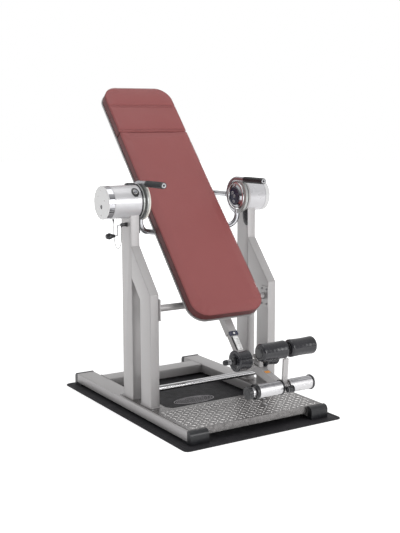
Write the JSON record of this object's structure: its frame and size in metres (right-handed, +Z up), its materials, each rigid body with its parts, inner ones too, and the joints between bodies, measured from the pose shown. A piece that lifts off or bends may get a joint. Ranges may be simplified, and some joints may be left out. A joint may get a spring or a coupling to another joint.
{
  "type": "motorized inversion table",
  "caption": "Motor-driven inversion table: padded board hung between two posts on a geared hub, with grips, sliding leg, ankle rollers, foot rest, tread plate and floor mat.",
  "frame": {"origin": "on the floor, under the middle of the tilt axis, at the underside of the mat", "axes": "+Z up; +X to the right of someone who faces the machine, along the tilt axis from the motor drum to the control drum; +Y towards the machine's back, where the pad's head end leans"},
  "size_m": [0.957, 1.489, 1.6371],
  "materials": {
    "silver_paint": "satin",
    "pearl_paint": "satin",
    "cap_plastic": "satin",
    "tread_alloy": "polished",
    "chrome_tube": "polished",
    "bare_steel": "brushed",
    "gear_steel": "machined",
    "foot_alloy": "satin",
    "maroon_hide": "matte",
    "tray_alloy": "satin",
    "mat_rubber": "matte",
    "black_rubber": "matte",
    "black_foam": "matte",
    "black_plastic": "satin",
    "blue_plastic": "satin",
    "white_plastic": "matte",
    "cord_jacket": "matte"
  },
  "bodies": {
    "base": {"floor_mat": "mat_rubber", "rail_left": "silver_paint", "rail_right": "silver_paint", "rear_crossmember": "silver_paint", "rubber_feet": "black_rubber", "tread_plate": "tread_alloy", "frame_bolts": "bare_steel", "rear_post_left": "silver_paint", "rear_post_right": "silver_paint", "front_post_left": "silver_paint", "front_post_right": "silver_paint", "upper_cross_tube": "chrome_tube", "lower_cross_tube": "chrome_tube", "motor_housing": "pearl_paint", "motor_band": "chrome_tube", "motor_end_cap": "cap_plastic", "gear_motor": "gear_steel", "hub_flange_left": "black_plastic", "hub_flange_right": "silver_paint", "control_housing": "pearl_paint", "control_end_cap": "cap_plastic", "dial_bezel": "chrome_tube", "dial_face": "blue_plastic", "switch_panel": "black_plastic", "mains_switch_frame": "black_plastic", "crank_holder": "black_plastic", "lead_gland": "black_plastic", "holder_lead": "cord_jacket"},
    "table": {"drive_hub": "pearl_paint", "idler_hub": "pearl_paint", "handle_bar_left": "chrome_tube", "handle_bar_right": "chrome_tube", "grip_left": "black_rubber", "grip_right": "black_rubber", "lower_yoke": "chrome_tube", "upper_yoke": "chrome_tube", "spine_tube": "silver_paint", "slide_collar": "blue_plastic", "pad_tray": "tray_alloy", "back_cushion": "maroon_hide", "head_cushion": "maroon_hide"},
    "leg": {"leg_tube": "silver_paint", "height_scale": "white_plastic", "cup_axle": "bare_steel", "foot_rest_bar": "foot_alloy"},
    "ankle_lever": {"ankle_lever": "silver_paint"},
    "roller_left": {"roller_left": "black_foam"},
    "roller_right": {"roller_right": "black_foam"},
    "ankle_cup_left": {"ankle_cup_left": "black_plastic"},
    "ankle_cup_right": {"ankle_cup_right": "black_plastic"},
    "foot_rest_knob": {"foot_rest_knob": "black_plastic"},
    "height_lock": {"height_lock_button": "white_plastic"},
    "motor_pinion": {"motor_pinion": "gear_steel"},
    "button_up": {"dial_button_up": "white_plastic"},
    "button_down": {"dial_button_down": "white_plastic"},
    "button_stop": {"dial_button_stop": "white_plastic"},
    "start_button": {"start_button": "white_plastic"},
    "mains_rocker": {"mains_rocker": "black_plastic"},
    "crank_arm": {"crank_arm": "bare_steel"},
    "crank_grip": {"crank_grip": "black_plastic"}
  },
  "joints": [
    {"name": "table_tilt", "type": "hinge", "parent": "base", "child": "table", "pos_m": [0, 0, 1.062], "axis": [-1, 0, 0], "range_deg": [0, 120]},
    {"name": "motor_turn", "type": "hinge", "parent": "base", "child": "motor_pinion", "pos_m": [0, 0, 1.042], "axis": [-1, 0, 0], "range_deg": [0, 258]},
    {"name": "leg_length", "type": "slide", "parent": "table", "child": "leg", "axis": [0, -0.66, -0.7513], "range_m": [0, 0.2]},
    {"name": "ankle_clamp", "type": "hinge", "parent": "leg", "child": "ankle_lever", "pos_m": [0, -0.80166, 0.26267], "axis": [-1, 0, 0], "range_deg": [0, 28]},
    {"name": "roller_left_turn", "type": "hinge", "parent": "ankle_lever", "child": "roller_left", "pos_m": [0, -0.81416, 0.44071], "axis": [1, 0, 0], "continuous": true},
    {"name": "ankle_cup_left_turn", "type": "hinge", "parent": "leg", "child": "ankle_cup_left", "pos_m": [0, -0.6001, 0.35408], "axis": [1, 0, 0], "continuous": true},
    {"name": "roller_right_turn", "type": "hinge", "parent": "ankle_lever", "child": "roller_right", "pos_m": [0, -0.81416, 0.44071], "axis": [1, 0, 0], "continuous": true},
    {"name": "ankle_cup_right_turn", "type": "hinge", "parent": "leg", "child": "ankle_cup_right", "pos_m": [0, -0.6001, 0.35408], "axis": [1, 0, 0], "continuous": true},
    {"name": "foot_rest_knob_turn", "type": "hinge", "parent": "leg", "child": "foot_rest_knob", "pos_m": [0, -0.80166, 0.26267], "axis": [-1, 0, 0], "continuous": true},
    {"name": "height_lock_press", "type": "slide", "parent": "table", "child": "height_lock", "axis": [0, 0.7513, -0.66], "range_m": [0, 0.0025], "stiffness_N_per_m": 600, "springref_m": -0.002},
    {"name": "button_up_press", "type": "slide", "parent": "base", "child": "button_up", "axis": [1, 0, 0], "range_m": [0, 0.0015], "stiffness_N_per_m": 500, "springref_m": -0.001},
    {"name": "button_down_press", "type": "slide", "parent": "base", "child": "button_down", "axis": [1, 0, 0], "range_m": [0, 0.0015], "stiffness_N_per_m": 500, "springref_m": -0.001},
    {"name": "button_stop_press", "type": "slide", "parent": "base", "child": "button_stop", "axis": [1, 0, 0], "range_m": [0, 0.0015], "stiffness_N_per_m": 500, "springref_m": -0.001},
    {"name": "start_button_press", "type": "slide", "parent": "base", "child": "start_button", "axis": [0, 0.7986, -0.6018], "range_m": [0, 0.0015], "stiffness_N_per_m": 500, "springref_m": -0.001},
    {"name": "mains_rocker_tilt", "type": "hinge", "parent": "base", "child": "mains_rocker", "pos_m": [-0.346, 0.00938, 1.15121], "axis": [0, 0.9945, -0.1045], "range_deg": [-8, 8]},
    {"name": "crank_pull", "type": "slide", "parent": "base", "child": "crank_arm", "axis": [-1, 0, 0], "range_m": [0, 0.025]},
    {"name": "crank_grip_turn", "type": "hinge", "parent": "crank_arm", "child": "crank_grip", "pos_m": [-0.45, -0.008, 0.898], "axis": [1, 0, 0], "continuous": true}
  ],
  "couplings": [
    {"joint": "motor_turn", "follows": "table_tilt", "ratio": 2.1429}
  ]
}
